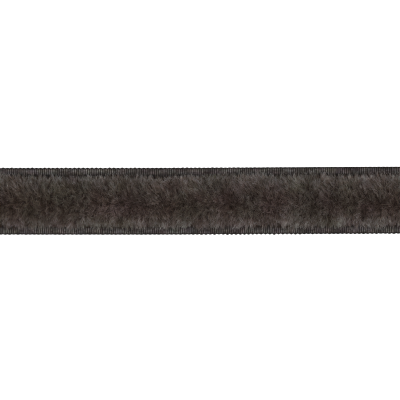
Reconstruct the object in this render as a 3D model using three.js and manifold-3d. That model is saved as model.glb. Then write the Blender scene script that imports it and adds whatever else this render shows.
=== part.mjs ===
// A cut length of faux fur trim: a ribbed woven tape with a strip of fur pile laid along its middle.
// Units are millimetres, +Z is up. The tape lies face up with its back on z = 0 and its length along X.
// The origin is the middle of the tape's back. The nap of the fur lies to both edges and towards -X.

import * as THREE from "three";
import { mergeVertices } from "three/addons/utils/BufferGeometryUtils.js";
import Module from "manifold-3d";

const wasm = await Module();
wasm.setup();

// Tape: a grosgrain, whose ribs are the weft picks that run across its whole width
const TAPE_WIDTH = 38.1;
const RIB_PITCH = 1.225;
const RIB_COUNT = 204;
const TAPE_LENGTH = RIB_COUNT * RIB_PITCH;
const RIB_TOP = 1.3;
const RIB_RELIEF = 0.3;
const SELVAGE_HEIGHT = 0.55;

// Each selvage bulges where the weft turns back, once for every two ribs, and the two sides alternate
const TURN_PITCH = 2 * RIB_PITCH;
const MEAN_TURN = 2 / Math.PI;
const EDGE_SPREAD = 0.14;
const SELVAGE_INSET = 0.2;

// How far the turns bulge out of the near selvage and the far one, at places from end to end
const TURNS = [
  { x: -125, near: 0.36, far: 0.4 },
  { x: -60, near: 0.22, far: 0.5 },
  { x: -10, near: 0.24, far: 0.4 },
  { x: 15, near: 0.55, far: 0.25 },
  { x: 45, near: 0.65, far: 0.15 },
  { x: 65, near: 0.4, far: 0.08 },
  { x: 125, near: 0.4, far: 0.08 },
];

// The tape doesn't lie quite straight: its middle line wanders and arches, and its width breathes a little
const WANDER = 0.32;
const WANDER_LENGTH = 520;
const ARCH = 0.15;
const ARCH_LENGTH = 330;
const BREATH = 0.03;
const BREATH_LENGTH = 330;

// Fur strip: a lumpy pile, ridged into locks whose tips overhang the ribs along both edges
const LAYING_GAP = 0.3;
const FUR_BASE = RIB_TOP + LAYING_GAP;
const BACKING_WIDTH = 26.6;
const PILE_HEIGHT = 4.5;
const RIM_HEIGHT = 0.9;
const DOME_POWER = 2.6;

// Locks: each ring of points along the strip follows a lock's ridge or the groove beside it
const LOCK_PITCH = 3.2;
const LOCK_STRAY = 0.42;
const TIP_REACH = 15.3;
const NOTCH_REACH = 14;
const TIP_SPREAD = 0.7;
const NOTCH_SPREAD = 0.4;
const RIM_SHIFT = -0.15;
const NEAR_SWEEP_ANGLE = 13;
const FAR_SWEEP_ANGLE = 24;
const SWEEP_SPREAD = 1.3;
const CROWN_LIFT = 0.3;
const TUFT_LIFT = 0.28;

// Where each lock bends, as shares of the way from the crown of the fur to the tip
const LOCK_STEPS = [0.2, 0.42, 0.64, 0.84, 1];

// A groove's depth follows this part of a half wave from the crown to the rim
const GROOVE_DEPTH = 0.7;
const GROOVE_SPREAD = 0.3;
const GROOVE_START = 0.22;
const GROOVE_SPAN = 0.64;

// Slow waves along the strip: lumps in the pile's height, and the line where its nap parts
const LUMP_WAVES = [
  { length: 31, height: 0.28, turn: 1.6 },
  { length: 13, height: 0.24, turn: 3.1 },
];
const PARTING_SHIFT = -1.6;
const PARTING_WAVES = [
  { length: 38, width: 0.6 },
  { length: 14.5, width: 0.5 },
];

// The pile spills over both cut ends, and further over the one that the nap leans to
const BACK_SPILL = 2.2;
const AHEAD_SPILL = 1.2;
const CUT_CLEARANCE = 2;

const HALF_TAPE = TAPE_WIDTH / 2;
const HALF_BACKING = BACKING_WIDTH / 2;
const HALF_LENGTH = TAPE_LENGTH / 2;

// The kinds of variation, numbered so that no two of them go together
const STRAY = 3;
const DEPTH = 4;
const CROWN = 5;
const NEAR_LOCK = 10;
const FAR_LOCK = 20;

// A repeatable number from -1 to 1 for a whole number and a kind of variation
function variation(index, kind) {
  const wave = Math.sin(index * 12.9898 + kind * 78.233) * 43758.5453;
  return 2 * (wave - Math.floor(wave)) - 1;
}

function middleLine(x) {
  const wander = WANDER * Math.sin((2 * Math.PI * x) / WANDER_LENGTH);
  return wander - ARCH * Math.cos((2 * Math.PI * x) / ARCH_LENGTH);
}

function breath(x) {
  return BREATH * Math.sin((2 * Math.PI * x) / BREATH_LENGTH);
}

// One closed surface through rings of points, each ring running the same way round, with a cap on both ends
function closedSweep(rings) {
  const around = rings[0].length;
  const corners = [];
  for (let ring = 0; ring + 1 < rings.length; ring += 1) {
    for (let side = 0; side < around; side += 1) {
      const next = (side + 1) % around;
      const here = ring * around;
      const ahead = here + around;
      corners.push(here + side, here + next, ahead + next);
      corners.push(here + side, ahead + next, ahead + side);
    }
  }
  const last = (rings.length - 1) * around;
  for (const [a, b, c] of capTriangles(rings[0])) corners.push(c, b, a);
  for (const [a, b, c] of capTriangles(rings.at(-1))) corners.push(last + a, last + b, last + c);
  const geometry = new THREE.BufferGeometry();
  geometry.setAttribute("position", new THREE.Float32BufferAttribute(rings.flat(2), 3));
  geometry.setIndex(corners);
  return geometry;
}

function capTriangles(ring) {
  const outline = ring.map(([, y, z]) => new THREE.Vector2(y, z));
  return THREE.ShapeUtils.triangulateShape(outline, []);
}

function toSolid(geometry) {
  const bare = new THREE.BufferGeometry();
  bare.setAttribute("position", geometry.getAttribute("position"));
  bare.setIndex(geometry.getIndex());
  const merged = mergeVertices(bare);
  return new wasm.Manifold(new wasm.Mesh({
    numProp: 3,
    vertProperties: merged.attributes.position.array,
    triVerts: new Uint32Array(merged.index.array),
  }));
}

function toGeometry(solid) {
  const mesh = solid.getMesh();
  const geometry = new THREE.BufferGeometry();
  geometry.setAttribute("position", new THREE.BufferAttribute(mesh.vertProperties, 3));
  geometry.setIndex(new THREE.BufferAttribute(mesh.triVerts, 1));
  geometry.computeVertexNormals();
  return geometry;
}

// How far the turns on a side, near or far, bulge out at x
function turnBulge(x, side) {
  const next = TURNS.findIndex((row) => row.x > x);
  const low = TURNS[next - 1];
  const high = TURNS[next];
  return THREE.MathUtils.mapLinear(x, low.x, high.x, low[side], high[side]);
}

// How far a selvage stands out at x. The far side turns one rib after the near side.
function selvageReach(x, side) {
  const turn = (Math.PI * (x + HALF_LENGTH)) / TURN_PITCH;
  const swell = Math.abs(side === "near" ? Math.sin(turn) : Math.cos(turn));
  return EDGE_SPREAD + turnBulge(x, side) * (swell - MEAN_TURN);
}

// The tape's section at the foot or the crest of a rib: its back, the far selvage, its top, the near selvage
function tapeRing(step) {
  const x = -HALF_LENGTH + (step * RIB_PITCH) / 2;
  const crest = step % 2 === 1;
  const top = crest ? RIB_TOP : RIB_TOP - RIB_RELIEF;
  const middle = middleLine(x);
  const near = middle - HALF_TAPE - breath(x);
  const far = middle + HALF_TAPE + breath(x);
  return [
    [x, near + SELVAGE_INSET, 0],
    [x, far - SELVAGE_INSET, 0],
    [x, far + selvageReach(x, "far"), SELVAGE_HEIGHT],
    [x, far - SELVAGE_INSET, top],
    [x, near + SELVAGE_INSET, top],
    [x, near - selvageReach(x, "near"), SELVAGE_HEIGHT],
  ];
}

function ribbedTape() {
  const rings = [];
  for (let step = 0; step <= 2 * RIB_COUNT; step += 1) rings.push(tapeRing(step));
  const geometry = closedSweep(rings);
  geometry.computeVertexNormals();
  return geometry;
}

// The height of the fur above its base, at a share of the way from the crown to the tips
function domeHeight(share) {
  return RIM_HEIGHT + (PILE_HEIGHT - RIM_HEIGHT) * (1 - share ** DOME_POWER);
}

function lump(x, share, side) {
  let height = 0;
  for (const wave of LUMP_WAVES) {
    height += wave.height * Math.sin((2 * Math.PI * x) / wave.length + side * share * wave.turn);
  }
  return height * (1 - share);
}

// The line from which the nap parts to both edges
function partingLine(x) {
  let y = middleLine(x) + PARTING_SHIFT;
  for (const wave of PARTING_WAVES) y += wave.width * Math.sin((2 * Math.PI * x) / wave.length);
  return y;
}

function isRidge(column) {
  return column % 2 === 0;
}

function columnStart(column) {
  return (column * LOCK_PITCH) / 2 + LOCK_STRAY * variation(column, STRAY);
}

function grooveDepth(column, share) {
  if (isRidge(column)) return 0;
  const depth = GROOVE_DEPTH + GROOVE_SPREAD * variation(column, DEPTH);
  return depth * Math.sin(Math.PI * (GROOVE_START + GROOVE_SPAN * share));
}

// How far towards -X the nap has swept a tip that reaches this far out
function sweep(reach, side) {
  return Math.tan(THREE.MathUtils.degToRad(side < 0 ? NEAR_SWEEP_ANGLE : FAR_SWEEP_ANGLE)) * reach;
}

// One point on a lock's ridge or in the groove beside it
function furPoint(column, step, side) {
  const share = LOCK_STEPS[step];
  const kind = side < 0 ? NEAR_LOCK : FAR_LOCK;
  const usual = isRidge(column) ? TIP_REACH : NOTCH_REACH;
  const spread = isRidge(column) ? TIP_SPREAD : NOTCH_SPREAD;
  const reach = usual + spread * variation(column, kind);
  const x = columnStart(column) + (SWEEP_SPREAD * variation(column, kind + 1) - sweep(reach, side)) * share;
  const tip = middleLine(x) + side * reach + RIM_SHIFT;
  const tuft = TUFT_LIFT * variation(column, kind + 2 + step) * (1 - share);
  return [
    x,
    THREE.MathUtils.lerp(partingLine(x), tip, share),
    FUR_BASE + domeHeight(share) + lump(x, share, side) + tuft - grooveDepth(column, share),
  ];
}

// The backing's edge lies under the last but one bend of the lock
function backingPoint(column, side) {
  const [x] = furPoint(column, LOCK_STEPS.length - 2, side);
  return [x, middleLine(x) + side * HALF_BACKING, FUR_BASE];
}

function crownPoint(column) {
  const x = columnStart(column);
  const lift = CROWN_LIFT * variation(column, CROWN);
  return [x, partingLine(x), FUR_BASE + domeHeight(0) + lump(x, 0, 1) + lift - grooveDepth(column, 0)];
}

// The fur's section along one ridge or groove: under the pile, then from the far tip over to the near tip
function furRing(column) {
  const near = LOCK_STEPS.map((share, step) => furPoint(column, step, -1));
  const far = LOCK_STEPS.map((share, step) => furPoint(column, step, 1));
  return [
    backingPoint(column, -1),
    backingPoint(column, 1),
    ...far.reverse(),
    crownPoint(column),
    ...near,
  ];
}

// The block with leaning ends that the fur strip is cut to
function endCut() {
  const top = FUR_BASE + PILE_HEIGHT + CUT_CLEARANCE;
  const outline = new THREE.Shape();
  outline.moveTo(-HALF_LENGTH, 0);
  outline.lineTo(HALF_LENGTH, 0);
  outline.lineTo(HALF_LENGTH + AHEAD_SPILL, top);
  outline.lineTo(-HALF_LENGTH - BACK_SPILL, top);
  outline.closePath();
  const block = new THREE.ExtrudeGeometry(outline, { depth: 2 * TAPE_WIDTH, bevelEnabled: false });
  block.rotateX(Math.PI / 2);
  block.translate(0, TAPE_WIDTH, 0);
  return mergeVertices(new THREE.BufferGeometry().setAttribute("position", block.getAttribute("position")));
}

function furStrip() {
  const start = HALF_LENGTH + BACK_SPILL + LOCK_PITCH;
  const end = HALF_LENGTH + AHEAD_SPILL + sweep(TIP_REACH + TIP_SPREAD, 1) + LOCK_PITCH;
  const firstColumn = -2 * Math.ceil(start / LOCK_PITCH);
  const lastColumn = 2 * Math.ceil(end / LOCK_PITCH);
  const rings = [];
  for (let column = firstColumn; column <= lastColumn; column += 1) rings.push(furRing(column));
  const pile = toSolid(closedSweep(rings));
  return toGeometry(pile.intersect(toSolid(endCut())));
}

const tape = new THREE.Mesh(
  ribbedTape(),
  new THREE.MeshStandardMaterial({ color: 0x43403d, roughness: 0.75, metalness: 0 }),
);
tape.name = "ribbed_tape";

const fur = new THREE.Mesh(
  furStrip(),
  new THREE.MeshStandardMaterial({ color: 0x3d3733, roughness: 0.9, metalness: 0 }),
);
fur.name = "fur_strip";

const trim = new THREE.Group();
trim.add(tape, fur);

export default trim;
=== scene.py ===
# Looks of a cut length of faux fur trim: a ribbed woven tape with a strip of fur laid along its middle.
# Lengths are in millimetres unless a name says otherwise, and become metres where a mesh is made.

from dataclasses import dataclass

import bpy
import numpy as np
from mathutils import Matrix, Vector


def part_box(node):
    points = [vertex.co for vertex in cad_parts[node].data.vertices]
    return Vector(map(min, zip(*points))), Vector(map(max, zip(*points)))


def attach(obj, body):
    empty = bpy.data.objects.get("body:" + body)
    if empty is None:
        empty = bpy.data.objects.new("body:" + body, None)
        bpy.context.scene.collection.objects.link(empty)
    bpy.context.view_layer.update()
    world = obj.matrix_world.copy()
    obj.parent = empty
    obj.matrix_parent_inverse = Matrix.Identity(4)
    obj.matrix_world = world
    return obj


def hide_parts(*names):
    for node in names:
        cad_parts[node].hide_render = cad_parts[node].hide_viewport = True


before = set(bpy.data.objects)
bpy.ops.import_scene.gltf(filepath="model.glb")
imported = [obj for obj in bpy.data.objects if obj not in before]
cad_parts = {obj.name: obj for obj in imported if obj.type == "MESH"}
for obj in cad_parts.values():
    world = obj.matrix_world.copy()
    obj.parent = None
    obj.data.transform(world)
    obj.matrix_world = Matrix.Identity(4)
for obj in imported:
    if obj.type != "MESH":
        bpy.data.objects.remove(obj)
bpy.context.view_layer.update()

MM = 0.001
SEED = 7

# The photograph's width, its scale, and the row of pixels that the tape's middle line lies on
PHOTO_PX = 400
MM_PER_PX = 0.572
MIDDLE_ROW = 200.845

# The tape, as in the CAD model
TAPE_WIDTH = 38.1
RIB_PITCH = 1.225
RIB_COUNT = 204
TAPE_LENGTH = RIB_COUNT * RIB_PITCH
HALF_TAPE = TAPE_WIDTH / 2
HALF_LENGTH = TAPE_LENGTH / 2
RIB_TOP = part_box("ribbed_tape")[1].z / MM
# Its middle line wanders and arches a little, and half its width changes by the breath
WANDER = 0.32
WANDER_LENGTH = 520
ARCH = 0.15
ARCH_LENGTH = 330
BREATH = 0.03
BREATH_LENGTH = 330


def middle_line(x):
    return WANDER * np.sin(2 * np.pi * x / WANDER_LENGTH) - ARCH * np.cos(2 * np.pi * x / ARCH_LENGTH)


def breath(x):
    return BREATH * np.sin(2 * np.pi * x / BREATH_LENGTH)


# Camera, floor and light

LENS = 200
SENSOR = 36
CLIP_START_M = 0.01
CLIP_END_M = 20
# The width in pixels that each point of the picture is gathered over, as crisp as the photograph
FILTER_WIDTH = 1.2
FLOOR_HALF_M = 3
FLOOR_WHITE = 0.92
SKY_STRENGTH = 0.7
LAMP_SIZE_M = 0.8
LAMP_PLACE_M = (-0.45, -0.1, 1.6)
LAMP_WATTS = 34


def add_camera():
    bpy.context.scene.cycles.filter_width = FILTER_WIDTH
    data = bpy.data.cameras.new("camera")
    data.lens = LENS
    data.sensor_width = SENSOR
    data.clip_start = CLIP_START_M
    data.clip_end = CLIP_END_M
    camera = bpy.data.objects.new("camera", data)
    bpy.context.scene.collection.objects.link(camera)
    height = PHOTO_PX * MM_PER_PX * LENS / SENSOR + RIB_TOP
    camera.location = (0, (MIDDLE_ROW - PHOTO_PX / 2) * MM_PER_PX * MM, height * MM)
    bpy.context.scene.camera = camera


def add_floor():
    low, high = -FLOOR_HALF_M, FLOOR_HALF_M
    data = bpy.data.meshes.new("floor")
    data.from_pydata([(low, low, 0), (high, low, 0), (high, high, 0), (low, high, 0)], [], [(0, 1, 2, 3)])
    floor = bpy.data.objects.new("floor", data)
    bpy.context.scene.collection.objects.link(floor)
    paint, _, shader = new_material("floor", roughness=1, specular=0)
    shader.inputs["Base Color"].default_value = (FLOOR_WHITE, FLOOR_WHITE, FLOOR_WHITE, 1)
    data.materials.append(paint)


def add_light():
    scene = bpy.context.scene
    scene.view_settings.view_transform = "Standard"
    world = bpy.data.worlds.new("studio")
    world.use_nodes = True
    sky = world.node_tree.nodes["Background"]
    sky.inputs["Color"].default_value = (1, 1, 1, 1)
    sky.inputs["Strength"].default_value = SKY_STRENGTH
    scene.world = world
    data = bpy.data.lights.new("overhead", "AREA")
    data.shape = "SQUARE"
    data.size = LAMP_SIZE_M
    data.energy = LAMP_WATTS
    lamp = bpy.data.objects.new("overhead", data)
    lamp.location = LAMP_PLACE_M
    lamp.rotation_euler = (-lamp.location).to_track_quat("-Z", "Y").to_euler()
    scene.collection.objects.link(lamp)


# Nodes of materials


def new_material(name, roughness, specular):
    material = bpy.data.materials.new(name)
    material.use_nodes = True
    shader = material.node_tree.nodes["Principled BSDF"]
    shader.inputs["Roughness"].default_value = roughness
    shader.inputs["Specular IOR Level"].default_value = specular
    return material, material.node_tree, shader


def join(tree, node, *values):
    """Links or sets the node's first inputs, and returns its first output."""
    for socket, value in zip(node.inputs, values):
        if isinstance(value, bpy.types.NodeSocket):
            tree.links.new(value, socket)
        else:
            socket.default_value = value
    return node.outputs[0]


def math_node(tree, operation, *values):
    node = tree.nodes.new("ShaderNodeMath")
    node.operation = operation
    return join(tree, node, *values)


def vector_node(tree, operation, *values):
    node = tree.nodes.new("ShaderNodeVectorMath")
    node.operation = operation
    return join(tree, node, *values)


def scale_node(tree, colour, amount):
    node = tree.nodes.new("ShaderNodeVectorMath")
    node.operation = "SCALE"
    tree.links.new(colour, node.inputs[0])
    tree.links.new(amount, node.inputs["Scale"])
    return node.outputs[0]


def ramp_node(tree, factor, stops, interpolation="LINEAR"):
    """A colour ramp through stops, each a position and either a colour or a grey."""
    node = tree.nodes.new("ShaderNodeValToRGB")
    node.color_ramp.interpolation = interpolation
    elements = node.color_ramp.elements
    while len(elements) < len(stops):
        elements.new(0.5)
    for element, (position, colour) in zip(elements, stops):
        element.position = position
        element.color = (*colour, 1) if hasattr(colour, "__len__") else (colour, colour, colour, 1)
    return join(tree, node, factor)


def noise_node(tree, spot, scale, detail, output="Fac"):
    node = tree.nodes.new("ShaderNodeTexNoise")
    node.inputs["Scale"].default_value = scale
    node.inputs["Detail"].default_value = detail
    tree.links.new(spot, node.inputs["Vector"])
    return node.outputs[output]


def uv_nodes(tree):
    place = tree.nodes.new("ShaderNodeUVMap")
    place.uv_map = "OFBake"
    split = tree.nodes.new("ShaderNodeSeparateXYZ")
    tree.links.new(place.outputs["UV"], split.inputs[0])
    return split.outputs["X"], split.outputs["Y"]


def add_bump(tree, shader, height, strength, distance):
    bump = tree.nodes.new("ShaderNodeBump")
    bump.inputs["Strength"].default_value = strength
    bump.inputs["Distance"].default_value = distance * MM
    tree.links.new(height, bump.inputs["Height"])
    tree.links.new(bump.outputs["Normal"], shader.inputs["Normal"])


# Material of the strands

# A strand's colour at its root, halfway and from near its tip on
STRAND_COLOURS = [
    (0.0, (0.0188, 0.0120, 0.0092)),
    (0.42, (0.0616, 0.0454, 0.0369)),
    (0.85, (0.0900, 0.0813, 0.0741)),
]
# About the share of that lightness that tone 0 leaves, and a tone higher by 1 is nine times as light
TONE_LOW = 0.3
TONE_TOP = 1.2
# Tints by tone: dark strands are redder than light ones
TONE_TINTS = [(0.2, (1.16, 1.0, 0.88)), (0.9, (0.95, 1.0, 1.03))]
# Strands come in bands of hue: in each step from greenish to reddish there are steps from bluish to yellowish
HUE_STEPS = 4
RED_TINT = (0.055, -0.036, 0.01)
YELLOW_TINT = (0.0, 0.01, -0.075)
BAND_COUNT = HUE_STEPS ** 2


def band_tint(band):
    red = 2 * (band // HUE_STEPS) / (HUE_STEPS - 1) - 1
    yellow = 2 * (band % HUE_STEPS) / (HUE_STEPS - 1) - 1
    return tuple(1 + red * to_red + yellow * to_yellow for to_red, to_yellow in zip(RED_TINT, YELLOW_TINT))


def fur_material():
    """Colour from OFBake alone: u is a strand's tone, and v holds a band for each hue, root to tip."""
    material, tree, shader = new_material("fur_pile", roughness=0.7, specular=0.06)
    u, v = uv_nodes(tree)
    along = math_node(tree, "FRACT", math_node(tree, "MULTIPLY", v, float(BAND_COUNT)))
    lightness = math_node(tree, "MULTIPLY", math_node(tree, "POWER", 10 ** TONE_TOP, u), TONE_LOW)
    colour = scale_node(tree, ramp_node(tree, along, STRAND_COLOURS), lightness)
    by_tone = [(tone / TONE_TOP, tint) for tone, tint in TONE_TINTS]
    by_band = [(band / BAND_COUNT, band_tint(band)) for band in range(BAND_COUNT)]
    for tint in (ramp_node(tree, u, by_tone), ramp_node(tree, v, by_band, "CONSTANT")):
        colour = vector_node(tree, "MULTIPLY", colour, tint)
    tree.links.new(colour, shader.inputs["Base Color"])
    return material


# Material of the body at the pile's foot

# Its grain in cells to the metre, and its colours from the hollows up, with painted shade darkening the
# hollows
BODY_GRAIN = 2600
BODY_DETAIL = 3
BODY_COLOURS = [
    (0.35, (0.004, 0.0025, 0.002)),
    (0.5, (0.014, 0.0095, 0.0078)),
    (0.65, (0.045, 0.031, 0.026)),
]


def body_material():
    material, tree, shader = new_material("pile_foot", roughness=0.9, specular=0.05)
    place = tree.nodes.new("ShaderNodeTexCoord")
    grain = noise_node(tree, place.outputs["Object"], scale=BODY_GRAIN, detail=BODY_DETAIL)
    tree.links.new(ramp_node(tree, grain, BODY_COLOURS), shader.inputs["Base Color"])
    add_bump(tree, shader, grain, strength=0.7, distance=0.2)
    return material


# Material of the tape

# How light the yarn is on a rib, and the painted shade between two ribs, by the place from one valley to the
# next
RIB_VALLEY_SHADE = 0.0096
RIB_LIGHT = 0.0515
RIB_SHADES = [(0.0, RIB_VALLEY_SHADE), (0.2, RIB_VALLEY_SHADE), (0.4, RIB_LIGHT), (0.6, RIB_LIGHT), (0.8, RIB_VALLEY_SHADE)]
# The yarn's hue by how light it comes out with its painted shade: darker places are warmer
YARN_HUES = [
    (0.005, (1.42, 1.0, 0.86)),
    (0.012, (1.33, 1.0, 0.89)),
    (0.03, (1.16, 1.0, 0.94)),
    (0.06, (1.12, 1.0, 0.955)),
    (0.09, (1.09, 1.0, 0.96)),
]
# Noise that changes the shade from rib to rib, and the shade and the hue over patches: its cells to a rib
# and to 1 mm, and the shades by its value
FINE_CELLS = (0.83, 0.7)
FINE_SHADES = [(0.3, 0.38), (0.7, 1.75)]
PATCH_CELLS = (0.13, 0.26)
PATCH_SHADES = [(0.3, 0.43), (0.7, 1.57)]
HUE_CELLS = (0.22, 0.25)
# How far apart the tints of hue lie at most, in red, green and blue
HUE_RANGE = (0.5, 0.38, 0.5)
NOISE_DETAIL = 2
YARN_PITCH = 0.34
# Painted shade on the margin by the distance from a selvage: dark at its turns, where the yarn curves away
# from the light, and darker again at the fur's foot as a painted shadow of the fur's rim
MARGIN_WIDTH = 4.5
MARGIN_PLAIN = 2.0
MARGIN_PAINTED_SHADES = [
    (0.0, 0.25),
    (0.55, 0.3),
    (1.1, 1.0),
    (MARGIN_PLAIN, 1.0),
    (2.7, 0.84),
    (3.2, 0.8),
    (4.1, 0.25),
]


def tape_material():
    """A warp-faced grosgrain from OFBake: ribs along u, and across v first the back and then the face."""
    material, tree, shader = new_material("tape_weave", roughness=0.6, specular=0.1)

    def times(value, factor):
        return math_node(tree, "MULTIPLY", value, factor)

    u, v = uv_nodes(tree)
    ribs = times(u, float(RIB_COUNT))
    number = math_node(tree, "FLOOR", ribs)
    across = times(math_node(tree, "FRACT", times(v, 2.0)), TAPE_WIDTH)

    def noise(place, cells, output="Fac"):
        spot = tree.nodes.new("ShaderNodeCombineXYZ")
        join(tree, spot, times(place, cells[0]), times(across, cells[1]))
        return noise_node(tree, spot.outputs[0], scale=1, detail=NOISE_DETAIL, output=output)

    off_middle = math_node(tree, "ABSOLUTE", math_node(tree, "SUBTRACT", across, HALF_TAPE))
    inset = math_node(tree, "SUBTRACT", HALF_TAPE, off_middle)
    # The back has no fur to cast the painted shadow at the fur's foot, and stays plain all the way
    # from one selvage's turns to the other's
    on_face = math_node(tree, "GREATER_THAN", v, 0.5)
    limit = math_node(tree, "MULTIPLY_ADD", on_face, TAPE_WIDTH, MARGIN_PLAIN)
    margin = math_node(tree, "DIVIDE", math_node(tree, "MINIMUM", inset, limit), MARGIN_WIDTH)
    # Painted shade at the selvages' turns and painted shadow at the fur's foot, by the distance from a
    # selvage
    by_margin = [(distance / MARGIN_WIDTH, shade) for distance, shade in MARGIN_PAINTED_SHADES]
    # The lightness of the ribs, with painted shade in the valleys between them
    lightness = ramp_node(tree, math_node(tree, "FRACT", ribs), RIB_SHADES)
    for place, stops in (
        (noise(number, FINE_CELLS), FINE_SHADES),
        (noise(ribs, PATCH_CELLS), PATCH_SHADES),
        (margin, by_margin),
    ):
        lightness = times(lightness, ramp_node(tree, place, stops))
    lightest = YARN_HUES[-1][0]
    by_lightness = [(light / lightest, hue) for light, hue in YARN_HUES]
    warmth = ramp_node(tree, math_node(tree, "DIVIDE", lightness, lightest), by_lightness)
    lowest = tuple(1 - width / 2 for width in HUE_RANGE)
    tint = vector_node(tree, "MULTIPLY_ADD", noise(ribs, HUE_CELLS, "Color"), HUE_RANGE, lowest)
    colour = scale_node(tree, vector_node(tree, "MULTIPLY", warmth, tint), lightness)
    tree.links.new(colour, shader.inputs["Base Color"])
    # The warp yarns over the ribs, shifted by half their pitch from each rib to the next
    turns = math_node(tree, "MULTIPLY_ADD", across, 2 * np.pi / YARN_PITCH, times(number, np.pi))
    add_bump(tree, shader, math_node(tree, "SINE", turns), strength=0.5, distance=0.06)
    return material


# Meshes from arrays


def new_piece(name, points, faces, uv, material, flat=0):
    """A mesh from points in millimetres and faces with equally many corners, the last few of them flat."""
    count, corners = faces.shape
    data = bpy.data.meshes.new(name)
    data.vertices.add(len(points))
    data.vertices.foreach_set("co", np.ascontiguousarray(points * MM, np.float32).ravel())
    data.loops.add(count * corners)
    data.loops.foreach_set("vertex_index", np.ascontiguousarray(faces, np.int32).ravel())
    data.polygons.add(count)
    data.polygons.foreach_set("loop_start", np.arange(0, count * corners, corners, dtype=np.int32))
    data.polygons.foreach_set("use_smooth", np.arange(count) < count - flat)
    if uv is not None:
        layer = data.uv_layers.new(name="OFBake")
        layer.uv.foreach_set("vector", np.ascontiguousarray(uv, np.float32).ravel())
    data.update(calc_edges=True)
    piece = bpy.data.objects.new(name, data)
    bpy.context.scene.collection.objects.link(piece)
    data.materials.append(material)
    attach(piece, "root")
    return piece


def swept(stations, around):
    """Quads that join rings of points into a tube, as indices, and then a strip of quads over each end."""
    index = np.arange(stations * around).reshape(stations, around)
    here, ahead = index[:-1], index[1:]
    tube = np.stack([here, np.roll(here, -1, 1), np.roll(ahead, -1, 1), ahead], -1).reshape(-1, 4)
    step = np.arange(around // 2 - 1)
    strip = np.stack([step, step + 1, around - 2 - step, around - 1 - step], -1)
    return np.concatenate([tube, index[0][strip[:, ::-1]], index[-1][strip]])


# Ribbed tape

# Steps along the tape for each rib, and how deep the valleys are on the face and on the back
RIB_STATIONS = 6
RIB_RELIEF = 0.25
BACK_RELIEF = 0.16
# The higher this is, the narrower the valleys are
VALLEY_POWER = 3
# How much the ribs stray from an even pitch, as a share of it, and how far they stay below an even height
RIB_STRAY = 0.06
RIB_DROP = 0.08
# How far the turns bulge out at places along the near selvage and the far one
TURN_PLACES = (-125, -60, -10, 15, 45, 65, 125)
NEAR_TURNS = (0.36, 0.22, 0.24, 0.55, 0.65, 0.4, 0.4)
FAR_TURNS = (0.4, 0.5, 0.4, 0.25, 0.15, 0.08, 0.08)
# How far in from a selvage they reach, how much they differ in size, and the mean of a half wave
TURN_WIDTH = 0.45
TURN_STRAY = 0.25
TURN_MEAN = 0.637
# How far the selvages stand out, and how far the back rises there
EDGE_SPREAD = 0.14
BACK_EDGE_RISE = 0.2
# How close to the borders of OFBake a corner may lie
U_MARGIN = 0.0001
V_MARGIN = 0.0005

# Half of the face's section from a selvage inwards: how far in, and the shares of the height and the relief
FACE_SECTION = [
    (0.0, 0.42, 0.2),
    (0.14, 0.82, 0.5),
    (0.45, 0.96, 0.9),
    (1.1, 1.0, 1.0),
    (3.0, 1.0, 1.0),
    (7.0, 1.0, 1.0),
]


def rib_places(rng):
    """Places counted in ribs from the end at -X, and their X, with ribs of slightly uneven pitch."""
    pitch = 1 + RIB_STRAY * rng.normal(0, 1, RIB_COUNT)
    borders = -HALF_LENGTH + TAPE_LENGTH * np.concatenate([[0], np.cumsum(pitch)]) / pitch.sum()
    place = np.arange(RIB_COUNT * RIB_STATIONS + 1) / RIB_STATIONS
    return place, np.interp(place, np.arange(RIB_COUNT + 1), borders)


def turn_bulge(rng, place, x, turns, ahead):
    """How far a selvage bulges out where the weft turns, which it does at every second rib."""
    reach = np.interp(x, TURN_PLACES, turns)
    size = rng.uniform(1 - TURN_STRAY, 1 + TURN_STRAY, RIB_COUNT)
    turn = place / 2 + ahead
    return reach * (size[turn.astype(int)] * np.abs(np.sin(np.pi * turn)) - TURN_MEAN)


def make_tape(rng):
    place, x = rib_places(rng)
    middle = middle_line(x)
    valley = np.abs(2 * (place % 1) - 1) ** VALLEY_POWER
    rib = np.minimum(place.astype(int), RIB_COUNT - 1)
    drop = RIB_DROP * np.abs(rng.normal(0, 1, RIB_COUNT))[rib] * (1 - valley)
    # The turns of one selvage lie between those of the other
    bulge = {-1: turn_bulge(rng, place, x, NEAR_TURNS, 0), 1: turn_bulge(rng, place, x, FAR_TURNS, 0.5)}
    columns, across = [], []

    def edge(inset):
        return max(0, 1 - inset / TURN_WIDTH)

    def add(side, inset, z):
        half = HALF_TAPE + breath(x) - inset + (EDGE_SPREAD + bulge[side]) * edge(inset)
        columns.append(np.stack([x, middle + side * half, z], -1))
        across.append(inset if side < 0 else TAPE_WIDTH - inset)

    # Round the section: the back from the near selvage to the far one, then the face from far to near
    for side, section in ((-1, FACE_SECTION[1:]), (1, FACE_SECTION[:0:-1])):
        for inset, _, relief in section:
            add(side, inset, BACK_RELIEF * valley * relief + BACK_EDGE_RISE * edge(inset))
    back = len(columns)
    for side, section in ((1, FACE_SECTION), (-1, FACE_SECTION[::-1])):
        for inset, height, relief in section:
            add(side, inset, height * (RIB_TOP - drop - RIB_RELIEF * relief * valley))
    around = len(columns)
    points = np.stack(columns, 1).reshape(-1, 3)
    faces = swept(len(place), around)
    # v is 0 to 0.5 across the back and 0.5 to 1 across the face
    on_face = (faces % around >= back).all(1)
    v = np.array(across)[faces % around] / TAPE_WIDTH / 2 + 0.5 * on_face[:, None]
    u = place[faces // around] / RIB_COUNT
    u, v = np.clip(u, U_MARGIN, 1 - U_MARGIN), np.clip(v, V_MARGIN, 1 - V_MARGIN)
    uv = np.stack([u, v], -1).reshape(-1, 2)
    tape = new_piece("woven_tape", points, faces, uv, tape_material(), around - 2)
    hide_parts("ribbed_tape")


# Pile: where it parts, and the dark body at its foot that the strands grow out of

# How far from the middle line the roots and the body reach
ROOT_REACH = 12.9
BODY_REACH = 13.3
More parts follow.
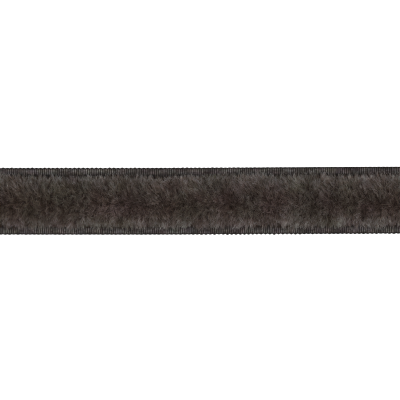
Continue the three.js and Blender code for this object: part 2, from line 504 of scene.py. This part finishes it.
# The height of the body's lower face, and how thick it is at the parting and at the rim
BODY_BOTTOM = RIB_TOP + 0.02
BODY_TOP = 1.9
BODY_RIM = 0.45
BODY_STATIONS = 250
BODY_COLUMNS = 25
DOME_POWER = 2.4
PARTING_SHIFT = -1.6
# Waves of the parting: how long each one is, and how far it swings to either side
PARTING_WAVES = [(38, 0.6), (14.5, 0.5)]
# How much the body leans towards -X with its height, how near its ends it gets lower, and the share left
END_LEAN = 0.4
END_ROUND = 2.5
END_LOW = 0.25


def parting_line(x):
    stray = sum(swing * np.sin(2 * np.pi * x / length) for length, swing in PARTING_WAVES)
    return middle_line(x) + PARTING_SHIFT + stray


def share_of(x, y, reach):
    """How far a point lies from the parting to the rim on its side, from 0 to 1, and which side it is on."""
    parting = parting_line(x)
    side = np.where(y < parting, -1.0, 1.0)
    rim = middle_line(x) + side * reach
    return np.clip((y - parting) / (rim - parting), 0, 1), side


def body_height(x, y):
    """The height of the body's top, which is domed at the parting and lower at the cut ends."""
    share, _ = share_of(x, y, BODY_REACH)
    inset = np.clip((HALF_LENGTH - np.abs(x)) / END_ROUND, 0, 1)
    rounded = END_LOW + (1 - END_LOW) * np.sqrt(inset * (2 - inset))
    return BODY_BOTTOM + BODY_RIM + (BODY_TOP - BODY_RIM) * (1 - share ** DOME_POWER) * rounded


def make_body():
    x = np.linspace(-HALF_LENGTH, HALF_LENGTH, BODY_STATIONS)[:, None]
    y = middle_line(x) + BODY_REACH * np.linspace(-1, 1, BODY_COLUMNS)
    x = np.broadcast_to(x, y.shape)
    z = body_height(x, y)
    bottom = np.stack([x, y, np.full(y.shape, BODY_BOTTOM)], -1)
    top = np.stack([x - END_LEAN * (z - BODY_BOTTOM), y, z], -1)
    points = np.concatenate([bottom, top[:, ::-1]], 1).reshape(-1, 3)
    around = 2 * BODY_COLUMNS
    faces = swept(BODY_STATIONS, around)
    body = new_piece("fur_body", points, faces, None, body_material(), around - 2)
    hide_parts("fur_strip")
    return body


# Strands as meshes

TAPER_POWER = 0.6
# The corners of a strand's section, in degrees from its side, the first one on top
CORNER_ANGLES = (90, 210, 330)
# A strand's side is square to this, which isn't quite straight up, so that upright strands have one too
NEARLY_UP = (0.0, 0.05, 1.0)
# Nothing is divided by a length under this
TINY = 1e-9
# Where strands lie on OFBake: room past the tones' ends and in a band of hue, and how wide a strand is
TONE_MARGIN = 0.02
BAND_MARGIN = 0.04
STRAND_UV_WIDTH = 0.006
# How far along its strand the first corner of the root's face lies there, which gives that face an area
FIRST_CORNER_UV = 0.03


@dataclass
class Strands:
    """Tapered three-sided strands, each along a few points from its root to its tip.

    A band is the number of a strand's hue, and frost is how far along STRAND_COLOURS its tip comes.
    """

    spine: np.ndarray
    radius: np.ndarray
    tone: np.ndarray
    band: np.ndarray
    frost: np.ndarray

    def part(self, chosen):
        values = (self.spine, self.radius, self.tone, self.band, self.frost)
        return Strands(*(value[chosen] for value in values))

    def points(self):
        """Rings of three points along each strand, the first corner uppermost, and then its tip."""
        count, steps = self.spine.shape[:2]
        along = np.gradient(self.spine, axis=1)
        side = np.cross(along, NEARLY_UP)
        side /= np.maximum(np.linalg.norm(side, axis=2, keepdims=True), TINY)
        over = np.cross(side, along)
        over /= np.maximum(np.linalg.norm(over, axis=2, keepdims=True), TINY)
        taper = np.linspace(1, 0, steps)[:-1] ** TAPER_POWER
        size = (self.radius[:, None] * taper)[:, :, None, None]
        angle = np.radians(CORNER_ANGLES)
        ring = np.cos(angle)[:, None] * side[:, :-1, None] + np.sin(angle)[:, None] * over[:, :-1, None]
        rings = (self.spine[:, :-1, None] + size * ring).reshape(count, -1, 3)
        return np.concatenate([rings, self.spine[:, -1:]], 1)

    def pattern(self):
        """The faces of one strand, and the place of each corner: across it from -1 to 1, and along it."""
        segments = self.spine.shape[1] - 1
        faces, spots = [(2, 1, 0)], [((-1, 0), (1, 0), (0, FIRST_CORNER_UV))]
        for ring in range(segments):
            low, high = ring / segments, (ring + 1) / segments
            for corner in range(3):
                a, b = 3 * ring + corner, 3 * ring + (corner + 1) % 3
                if ring + 1 < segments:
                    faces += [(a, b, b + 3), (a, b + 3, a + 3)]
                    spots += [((-1, low), (1, low), (1, high)), ((-1, low), (1, high), (-1, high))]
                else:
                    faces.append((a, b, 3 * segments))
                    spots.append(((-1, low), (1, low), (0, 1)))
        return np.array(faces), np.array(spots, float)

    def piece(self, name, material):
        points = self.points()
        count, per = points.shape[:2]
        pattern, spots = self.pattern()
        faces = (pattern[None] + per * np.arange(count)[:, None, None]).reshape(-1, 3)
        tone = TONE_MARGIN + (1 - 2 * TONE_MARGIN) * self.tone[:, None, None] / TONE_TOP
        u = tone + STRAND_UV_WIDTH / 2 * spots[..., 0]
        along = BAND_MARGIN + (1 - 2 * BAND_MARGIN) * self.frost[:, None, None] * spots[..., 1]
        v = (self.band[:, None, None] + along) / BAND_COUNT
        uv = np.stack(np.broadcast_arrays(u, v), -1).reshape(-1, 2)
        return new_piece(name, points.reshape(-1, 3), faces, uv, material)


# What varies over the pile

# Room for fields past the ends and the sides of the tape
FIELD_PAST_ENDS = 20
FIELD_PAST_SIDES = 10


class Field:
    """Smooth random numbers between -1 and 1 that change over a given distance along X and Y."""

    def __init__(self, rng, cell_x, cell_y):
        self.cell = np.array([cell_x, cell_y])
        self.start = np.array([-HALF_LENGTH - FIELD_PAST_ENDS, -HALF_TAPE - FIELD_PAST_SIDES])
        columns, rows = np.ceil(-2 * self.start / self.cell).astype(int) + 2
        self.grid = rng.uniform(-1, 1, (columns, rows))

    def __call__(self, x, y):
        u = (x - self.start[0]) / self.cell[0]
        v = (y - self.start[1]) / self.cell[1]
        i, j = np.floor(u).astype(int), np.floor(v).astype(int)
        u, v = u - i, v - j
        u, v = u * u * (3 - 2 * u), v * v * (3 - 2 * v)
        near = self.grid[i, j] * (1 - u) + self.grid[i + 1, j] * u
        far = self.grid[i, j + 1] * (1 - u) + self.grid[i + 1, j + 1] * u
        return near * (1 - v) + far * v


CLUMP_PITCH = 1.25
CLUMP_REACH = ROOT_REACH + 1
# How far across its cell of the grid a clump's middle may lie
CLUMP_ROOM = (0.1, 0.9)
# How much clumps stray in lean, in their share of the way across, and in curl
CLUMP_LEAN = 0.15
CLUMP_SHIFT = 0.2
CLUMP_CURL = 0.3
# A clump's length as a share of its kind's: at least this, up to this much more, and the beta law between
CLUMP_SHORTEST = 0.8
CLUMP_LONGER = 0.5
CLUMP_LENGTH_SKEW = (2, 3)


class Clumps:
    """A grid of clumps with strayed middles, whose Y is counted from the tape's middle line.

    The strands of a clump share its lean, length, tone and hue.
    """

    def __init__(self, rng):
        self.grid = int(2 * HALF_LENGTH / CLUMP_PITCH), int(2 * CLUMP_REACH / CLUMP_PITCH)
        columns, rows = self.grid
        place = rng.uniform(*CLUMP_ROOM, (2, columns, rows))
        self.x = -HALF_LENGTH + (np.arange(columns)[:, None] + place[0]) * (2 * HALF_LENGTH / columns)
        self.y = -CLUMP_REACH + (np.arange(rows)[None, :] + place[1]) * (2 * CLUMP_REACH / rows)
        self.lean_x = rng.normal(0, CLUMP_LEAN, self.grid)
        self.lean_y = rng.normal(0, CLUMP_LEAN, self.grid)
        self.shift = rng.normal(0, CLUMP_SHIFT, self.grid)
        self.curl = rng.normal(0, CLUMP_CURL, self.grid)
        self.tone = rng.normal(0, 1, self.grid)
        self.length = CLUMP_SHORTEST + CLUMP_LONGER * rng.beta(*CLUMP_LENGTH_SKEW, self.grid)

    def nearest(self, x, y):
        """The column and row of the clump whose middle is nearest to each point."""
        columns, rows = self.grid
        column = np.clip(((x + HALF_LENGTH) / (2 * HALF_LENGTH) * columns).astype(int), 0, columns - 1)
        row = np.clip(((y + CLUMP_REACH) / (2 * CLUMP_REACH) * rows).astype(int), 0, rows - 1)
        best = np.full(len(x), np.inf)
        found_column, found_row = column.copy(), row.copy()
        for step_x in (-1, 0, 1):
            for step_y in (-1, 0, 1):
                near_column = np.clip(column + step_x, 0, columns - 1)
                near_row = np.clip(row + step_y, 0, rows - 1)
                away = (self.x[near_column, near_row] - x) ** 2 + (self.y[near_column, near_row] - y) ** 2
                closer = away < best
                best = np.where(closer, away, best)
                found_column = np.where(closer, near_column, found_column)
                found_row = np.where(closer, near_row, found_row)
        return found_column, found_row


# Values at the rim on the near side, halfway, at the parting, halfway again and at the far rim
ACROSS = (-1, -0.5, 0, 0.5, 1)
# How far strands lean towards -X, and how much they stray
LEAN_BACK = (0.15, 0.22, 0.28, 0.42, 0.22)
STRAY = (1.5, 2.3, 1.3, 1.2, 1.3)
# How much tone differs from strand to strand, clump to clump, tuft to tuft and over broad patches
STRAND_TONE = (0.68, 1.08, 1.35, 1.1, 1.2)
CLUMP_TONE = (0.05, 0.09, 0.13, 0.075, 0.115)
TUFT_TONE = (0.185, 0.115, 0.17, 0.09, 0.205)
PATCH_TONE = (0.16, 0.13, 0.14, 0.11, 0.15)
# How much longer the light end is than the dark one, for strands, clumps and tufts
TAIL = (0.3, -0.5, -0.5, -0.4, -0.3)
# Hue towards reddish and yellowish, in steps, and how much it differs over broad patches
RED = (-0.05, 0.35, 0.2, -0.1, -0.45)
YELLOW = (-0.1, 0.15, -0.6, 0.1, -1.0)
RED_PATCH = (1.0, 1.1, 2.1, 1.65, 0.55)
YELLOW_PATCH = (1.0, 0.4, 2.1, 1.8, 0.3)
# Painted light and shade: how much lighter or darker the pile is made than its kinds' tones, at places of
# its own across it, lighter at the near rim and darker in the middle, where the upright pile is shaded
PAINTED_LIGHT_ACROSS = (-1, -0.8, -0.5, 0, 0.5, 0.75, 1)
PAINTED_LIGHT = (0.1, 0.06, -0.16, -0.17, -0.14, -0.01, -0.03)


def blended(share, values, places=ACROSS):
    return np.interp(share, places, values)


def signed_share(x, y, shift):
    """From -1 at the near rim over 0 at the parting to 1 at the far rim, shifted a little."""
    share, side = share_of(x, y, ROOT_REACH)
    return np.clip(share * side + shift, -1, 1)


# Growing strands

# Leans as sines: out to the edges, over broad patches, in locks, over the cut ends, and the most in all
LEAN_OUT = 0.93
FIELD_LEAN = 0.30
LOCK_LEAN = 0.45
END_SPILL = 1.1
FLATTEST_LEAN = 0.985
# How soon past the parting strands lean out in full
LEAN_OUT_SHARPNESS = 2.6
# Shares of its lean that a strand has at its root and at its tip, and the most that it leans, in degrees
BEND = (0.7, 1.2)
STEEPEST_LEAN = 92
# How deep the roots are sunk in the body
ROOT_DEPTH = 0.15
# How much a strand strays from its clump's lean, and how much it turns on its way, in radians
STRAND_STRAY = 0.18
STRAND_CURL = 0.6
# The least and the most that a strand has of its clump's length, and of its kind's radius
STRAND_LENGTHS = (0.75, 1.15)
STRAND_RADII = (0.8, 1.2)
# Near the parting, up to this share of the way out, strands are shorter, swirl more and stray more
CROWN_WIDTH = 0.4
CROWN_LENGTH = 0.78
CROWN_SWIRL = 2.2
CROWN_STRAY = CROWN_SWIRL / 2
# The share of its pull that a clump has at the parting, and how the pull grows along its strands
PARTING_PULL = 0.8
PULL_POWER = 1.3
# How much roots wander, as a share of their distance from the middle, and how far all of them are shifted
RIM_WANDER = 0.045
RIM_SHIFT = -0.15
# Notches between the tufts of the rim: the most that strands are shortened there, how far from the middle
# their tips lie where that begins, and how much further out it is in full
NOTCH_DEPTH = 0.5
NOTCH_START = 12.8
NOTCH_WIDTH = 1.2
# How fast a notch deepens from its sides, and how far it is held back
NOTCH_GAIN = 2
NOTCH_RARITY = 0.2
# The pile is sheared at about this height, this share of what is higher stays, and it clears the ribs by this
SHEAR_TOP = 6.0
SHEAR_SLACK = 0.35
RIB_CLEARANCE = 0.12
# How far along its colours a tip at the parting comes, as a share of one at the rim
FROST_LOW = 0.72
# How many times as long as TAIL the tail of tufts is, and the mean of a field's squares
TUFT_TAIL = 2
FIELD_MEAN_SQUARE = 0.14
# How much hue differs from strand to strand, in steps
HUE_NOISE = 0.35


@dataclass
class Kind:
    """One kind of strand: how many, where they are rooted, their form, and how they differ.

    A zone is a range of distances from the middle line, on both sides. The spread is that of the tone. Pull
    draws tips towards those of their clump, frost is how far along their colours the tips come, and ragged
    is how much lengths differ over patches.
    """

    count: int
    zone: tuple
    segments: int
    length: float
    radius: float
    tone: float
    spread: float
    pull: float
    stray: float = STRAND_STRAY
    curl: float = STRAND_CURL
    frost: float = 1.0
    ragged: float = 0.0
    notched: bool = True


EVERYWHERE = (0, ROOT_REACH)
RIM_ZONE = (ROOT_REACH - 2.6, ROOT_REACH + 0.2)
FOOT_ZONE = (ROOT_REACH, ROOT_REACH + 0.7)
KINDS = {
    "underfur": Kind(
        count=22000,
        zone=EVERYWHERE,
        segments=2,
        length=4.1,
        radius=0.11,
        tone=0.59,
        spread=0.2,
        pull=0.4,
    ),
    "guard_hairs": Kind(
        count=15000,
        zone=EVERYWHERE,
        segments=3,
        length=4.8,
        radius=0.095,
        tone=0.73,
        spread=0.27,
        pull=0.5,
    ),
    "wisps": Kind(
        count=7500,
        zone=EVERYWHERE,
        segments=4,
        length=4.4,
        radius=0.14,
        tone=0.72,
        spread=0.35,
        pull=0.15,
        stray=0.25,
        curl=1.0,
    ),
    "rim_hairs": Kind(
        count=10000,
        zone=RIM_ZONE,
        segments=3,
        length=3.9,
        radius=0.075,
        tone=0.66,
        spread=0.22,
        pull=0.75,
        ragged=0.15,
    ),
    # Nearly black short hairs at the fur's foot, put there as a painted shadow line under the rim's
    # overhanging tips
    "shadow_foot_hairs": Kind(
        count=9000,
        zone=FOOT_ZONE,
        segments=1,
        length=2.5,
        radius=0.1,
        tone=0.05,
        spread=0.08,
        pull=0.4,
        frost=0.4,
        ragged=0.45,
        notched=False,
    ),
}


@dataclass
class Roots:
    """Where strands are rooted, with Y counted from the tape's middle line.

    Each has its clump, the clump's middle as its spot, its signed share, and a place along the nap's grain.
    """

    x: np.ndarray
    y: np.ndarray
    clump: tuple
    spot: tuple
    share: np.ndarray
    grain: tuple


def strand_path(x, y, lean_x, lean_y, shift, curl, length, segments, fields):
    """Points along strands that lean out to both edges and towards -X, and over the cut ends."""
    y = y + middle_line(x)
    share = signed_share(x, y, shift)
    lean_back = blended(share, LEAN_BACK)
    over_end = END_SPILL * np.sign(x) * np.exp((np.abs(x) - HALF_LENGTH) / END_ROUND)
    lean_out = LEAN_OUT * np.tanh(LEAN_OUT_SHARPNESS * share)
    flat = np.stack([
        over_end - lean_back + lean_x + FIELD_LEAN * fields["lean_x"](x, y),
        lean_out + lean_y + FIELD_LEAN * fields["lean_y"](x, y),
    ], -1)
    amount = np.linalg.norm(flat, axis=1, keepdims=True)
    flat = flat / np.maximum(amount, TINY)
    lean = np.arcsin(np.minimum(amount[:, 0], FLATTEST_LEAN))
    points = [np.stack([x, y, body_height(x, y) - ROOT_DEPTH], -1)]
    turn = curl / segments
    for bend in np.linspace(*BEND, segments):
        angle = np.minimum(lean * bend, np.radians(STEEPEST_LEAN))[:, None]
        direction = np.concatenate([flat * np.sin(angle), np.cos(angle)], 1)
        points.append(points[-1] + (length / segments)[:, None] * direction)
        flat = np.stack([
            flat[:, 0] * np.cos(turn) - flat[:, 1] * np.sin(turn),
            flat[:, 0] * np.sin(turn) + flat[:, 1] * np.cos(turn),
        ], -1)
    return np.stack(points, 1)


def notched(spine, field):
    """Strands made shorter where their tips would fill a notch of the rim."""
    tip_x, tip_y = spine[:, -1, 0], spine[:, -1, 1]
    past = (np.abs(tip_y - middle_line(tip_x)) - NOTCH_START) / NOTCH_WIDTH
    notch = np.clip(NOTCH_GAIN * field(tip_x, tip_y) - NOTCH_RARITY, 0, 1)
    depth = NOTCH_DEPTH * notch * np.clip(past, 0, 1)
    return spine[:, :1] + (1 - depth)[:, None, None] * (spine - spine[:, :1])


def sheared(spine):
    """Strands kept below the height of the shears and above the ribs."""
    height = spine[..., 2]
    height = np.minimum(height, SHEAR_TOP + SHEAR_SLACK * (height - SHEAR_TOP))
    spine[..., 2] = np.maximum(height, RIB_TOP + RIB_CLEARANCE)
    return spine


def find_roots(kind, clumps, rng, fields):
    """Random roots in the kind's zone, each in the clump whose middle is nearest."""
    x = rng.uniform(-HALF_LENGTH, HALF_LENGTH, kind.count)
    y = rng.uniform(*kind.zone, kind.count) * rng.choice([-1, 1], kind.count)
    y = y * (1 + RIM_WANDER * fields["rim"](x, np.sign(y) * HALF_TAPE)) + RIM_SHIFT
    clump = clumps.nearest(x, y)
    spot = clumps.x[clump], clumps.y[clump]
    share = signed_share(x, y + middle_line(x), clumps.shift[clump])
    # Tufts and patches follow the nap, which goes towards -X on its way out from the parting
    start = spot[0] + blended(share, LEAN_BACK) * np.abs(spot[1] - PARTING_SHIFT)
    return Roots(x, y, clump, spot, share, (start, spot[1]))


def find_spines(kind, roots, clumps, rng, fields):
    """Each strand's own path, drawn towards the path that its clump shares."""
    count, clump = kind.count, roots.clump
    out = np.abs(roots.share)
    crown = 1 - np.minimum(1, out / CROWN_WIDTH)
    lean_x = clumps.lean_x[clump] + LOCK_LEAN * fields["lock"](*roots.grain)
    lean_x = lean_x * (1 + CROWN_SWIRL * crown)
    lean_y = clumps.lean_y[clump] * (1 + CROWN_SWIRL * crown)
    length = kind.length * clumps.length[clump] * (1 - (1 - CROWN_LENGTH) * crown)
    length *= 1 + kind.ragged * fields["ragged"](roots.x, roots.y)
    stray = kind.stray * blended(roots.share, STRAY) * (1 + CROWN_STRAY * crown)
    own = strand_path(
        roots.x,
        roots.y,
        lean_x + stray * rng.normal(0, 1, count),
        lean_y + stray * rng.normal(0, 1, count),
        clumps.shift[clump],
        rng.normal(0, kind.curl, count),
        length * rng.uniform(*STRAND_LENGTHS, count),
        kind.segments,
        fields,
    )
    shared = strand_path(
        *roots.spot,
        lean_x,
        lean_y,
        clumps.shift[clump],
        clumps.curl[clump],
        length,
        kind.segments,
        fields,
    )
    gathered = PARTING_PULL + (1 - PARTING_PULL) * out
    pull = kind.pull * gathered[:, None] * np.linspace(0, 1, kind.segments + 1) ** PULL_POWER
    spine = own + pull[:, :, None] * (shared - own)
    if kind.notched:
        spine = notched(spine, fields["notch"])
    return sheared(spine)


def skewed(value, tail, mean_square=1):
    """Random values whose light end is made longer than their dark end, or shorter where tail is negative."""
    return value + tail * (value ** 2 - mean_square)


def find_tones(kind, roots, clumps, rng, fields):
    """Each strand's tone, with painted light and shade by its share, and by how strands, clumps, tufts and
    broad patches differ.
    """
    share = roots.share
    tail = blended(share, TAIL)
    tuft = skewed(fields["tuft"](*roots.grain), TUFT_TAIL * tail, FIELD_MEAN_SQUARE)
    tone = kind.tone + blended(share, PAINTED_LIGHT, PAINTED_LIGHT_ACROSS)
    tone += kind.spread * blended(share, STRAND_TONE) * skewed(rng.normal(0, 1, kind.count), tail)
    tone += blended(share, CLUMP_TONE) * skewed(clumps.tone[roots.clump], tail)
    tone += blended(share, TUFT_TONE) * tuft
    tone += blended(share, PATCH_TONE) * fields["tone"](*roots.grain)
    return np.clip(tone, 0, TONE_TOP)


def find_bands(roots, rng, fields):
    """Each strand's band of hue, from its step towards reddish and the one towards yellowish."""
    steps = []
    for mean, patch, field in ((RED, RED_PATCH, "red"), (YELLOW, YELLOW_PATCH, "yellow")):
        step = blended(roots.share, mean) + blended(roots.share, patch) * fields[field](*roots.spot)
        step = step + (HUE_STEPS - 1) / 2 + rng.normal(0, HUE_NOISE, len(step))
        steps.append(np.clip(np.round(step), 0, HUE_STEPS - 1))
    return HUE_STEPS * steps[0] + steps[1]


def grow(kind, clumps, rng, fields):
    """Strands of a kind, rooted at its distances from the middle and gathered into clumps."""
    roots = find_roots(kind, clumps, rng, fields)
    spine = find_spines(kind, roots, clumps, rng, fields)
    tone = find_tones(kind, roots, clumps, rng, fields)
    band = find_bands(roots, rng, fields)
    radius = kind.radius * rng.uniform(*STRAND_RADII, kind.count)
    frost = kind.frost * (FROST_LOW + (1 - FROST_LOW) * np.abs(roots.share))
    return Strands(spine, radius, tone, band, frost)


def make_fields(rng):
    """The fields by name, each with the distances along X and Y that it changes over."""
    return {
        "lean_x": Field(rng, 6, 5),
        "lean_y": Field(rng, 6, 5),
        "tone": Field(rng, 6, 9),
        "tuft": Field(rng, 1.7, 7),
        "red": Field(rng, 8, 6),
        "yellow": Field(rng, 10, 6),
        "rim": Field(rng, 6, 6),
        "ragged": Field(rng, 8, 12),
        "lock": Field(np.random.default_rng(SEED + 3), 1.9, 7),
        "notch": Field(np.random.default_rng(SEED + 2), 1.3, 30),
    }


def make_pile(rng):
    """The body, and the strands of each kind in pieces for the near third, the crown and the far third."""
    fields = make_fields(rng)
    material = fur_material()
    body = make_body()
    clumps = Clumps(rng)
    third = ROOT_REACH / 3
    for name, kind in KINDS.items():
        strands = grow(kind, clumps, rng, fields)
        root = strands.spine[:, 0]
        row = root[:, 1] - middle_line(root[:, 0])
        places = {"near": row < -third, "crown": np.abs(row) <= third, "far": row > third}
        for place, chosen in places.items():
            if chosen.any():
                strands.part(chosen).piece(f"{name}_{place}", material)


add_camera()
add_floor()
add_light()
make_tape(np.random.default_rng(SEED))
make_pile(np.random.default_rng(SEED + 1))
